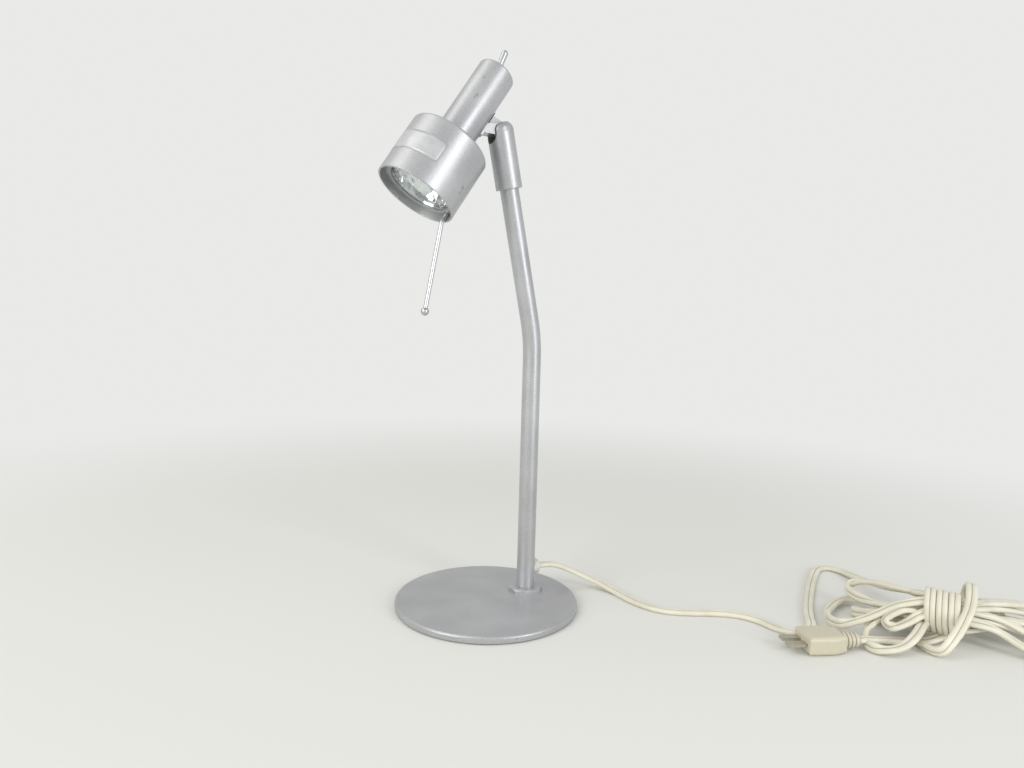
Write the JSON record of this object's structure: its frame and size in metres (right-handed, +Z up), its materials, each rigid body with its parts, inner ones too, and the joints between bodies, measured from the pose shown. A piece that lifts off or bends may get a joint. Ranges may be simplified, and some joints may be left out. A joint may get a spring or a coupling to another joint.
{
  "type": "tabletop searchlight lamp",
  "caption": "Small table spotlight on a round base: bent pole, swivelling knuckle, tilting drum-shaped head with a reflector lamp, toggle switch, aiming rod and low-voltage cord with a plug.",
  "frame": {"origin": "centre of the round base, in the plane of the table that it stands on", "axes": "+Z up; the lamp stands in the plane X = 0 with its head towards -Y and its cord leaving at +Y"},
  "size_m": [0.25, 0.319, 0.2946],
  "materials": {
    "painted_steel": "silver-grey satin paint, cast or drawn steel",
    "inner_steel": "zinc-plated steel",
    "ring_metal": "grey satin paint",
    "plated_fasteners": "zinc-plated steel",
    "chrome": "polished chrome plate",
    "terminal_brass": "plated brass",
    "blade_brass": "bright brass, slightly tarnished",
    "foot_pad": "dark foam rubber",
    "washer_plastic": "natural nylon",
    "clear_sleeve": "milky translucent vinyl",
    "edging_rubber": "black rubber",
    "block_plastic": "black moulded",
    "switch_plastic": "black phenolic",
    "ceramic": "white glazed ceramic",
    "lamp_mirror": "faceted aluminised glass",
    "lamp_front_glass": "clear glass",
    "cord_vinyl": "ivory flat twin vinyl",
    "flat_lead_vinyl": "milky translucent vinyl",
    "wire_vinyl": "white insulation",
    "plug_vinyl": "ivory moulded vinyl"
  },
  "bodies": {
    "stand": {"base_disc": "painted_steel", "base_pad": "foot_pad", "pole_nut": "painted_steel", "foot_washer": "inner_steel", "lock_nut": "plated_fasteners", "pole": "painted_steel", "cord_outlet": "clear_sleeve", "pole_lead": "cord_vinyl", "cord_tube": "cord_vinyl", "cord_hank": "cord_vinyl", "plug_lead": "cord_vinyl", "plug_body": "plug_vinyl", "plug_blades": "blade_brass", "plug_relief": "plug_vinyl"},
    "sleeve": {"knuckle_sleeve": "painted_steel", "swivel_screw": "plated_fasteners", "pivot_pins": "painted_steel", "pivot_washers": "washer_plastic", "flat_lead": "flat_lead_vinyl"},
    "head": {"shade": "painted_steel", "rear_tube": "painted_steel", "joining_bush": "inner_steel", "lamp_socket": "ceramic", "lamp_pins": "terminal_brass", "socket_screw": "plated_fasteners", "lamp_reflector": "lamp_mirror", "lamp_glass": "lamp_front_glass", "lamp_capsule": "lamp_front_glass", "lamp_base": "ceramic", "retaining_ring": "ring_metal", "lamp_seat": "inner_steel", "rod_block": "block_plastic", "rod_block_screw": "plated_fasteners", "aiming_rod": "chrome", "rod_ball": "chrome", "switch_case": "switch_plastic", "switch_terminals": "terminal_brass", "switch_bushing": "chrome", "switch_nut": "chrome", "head_bracket": "painted_steel", "bracket_screws": "painted_steel", "slot_edging": "edging_rubber", "head_wires": "wire_vinyl"},
    "lever": {"toggle_lever": "chrome"}
  },
  "joints": [
    {"name": "sleeve_swivel", "type": "hinge", "parent": "stand", "child": "sleeve", "pos_m": [0, 0.0256, 0.1465], "axis": [0, -0.2164, 0.9763], "range_deg": [-165, 165]},
    {"name": "head_tilt", "type": "hinge", "parent": "sleeve", "child": "head", "pos_m": [0, 0.00071, 0.25416], "axis": [-1, 0, 0], "range_deg": [-15, 75], "deforming": ["flat_lead"]},
    {"name": "toggle_flip", "type": "hinge", "parent": "head", "child": "lever", "pos_m": [0, -0.00121, 0.28223], "axis": [-1, 0, 0], "range_deg": [0, 23]}
  ]
}
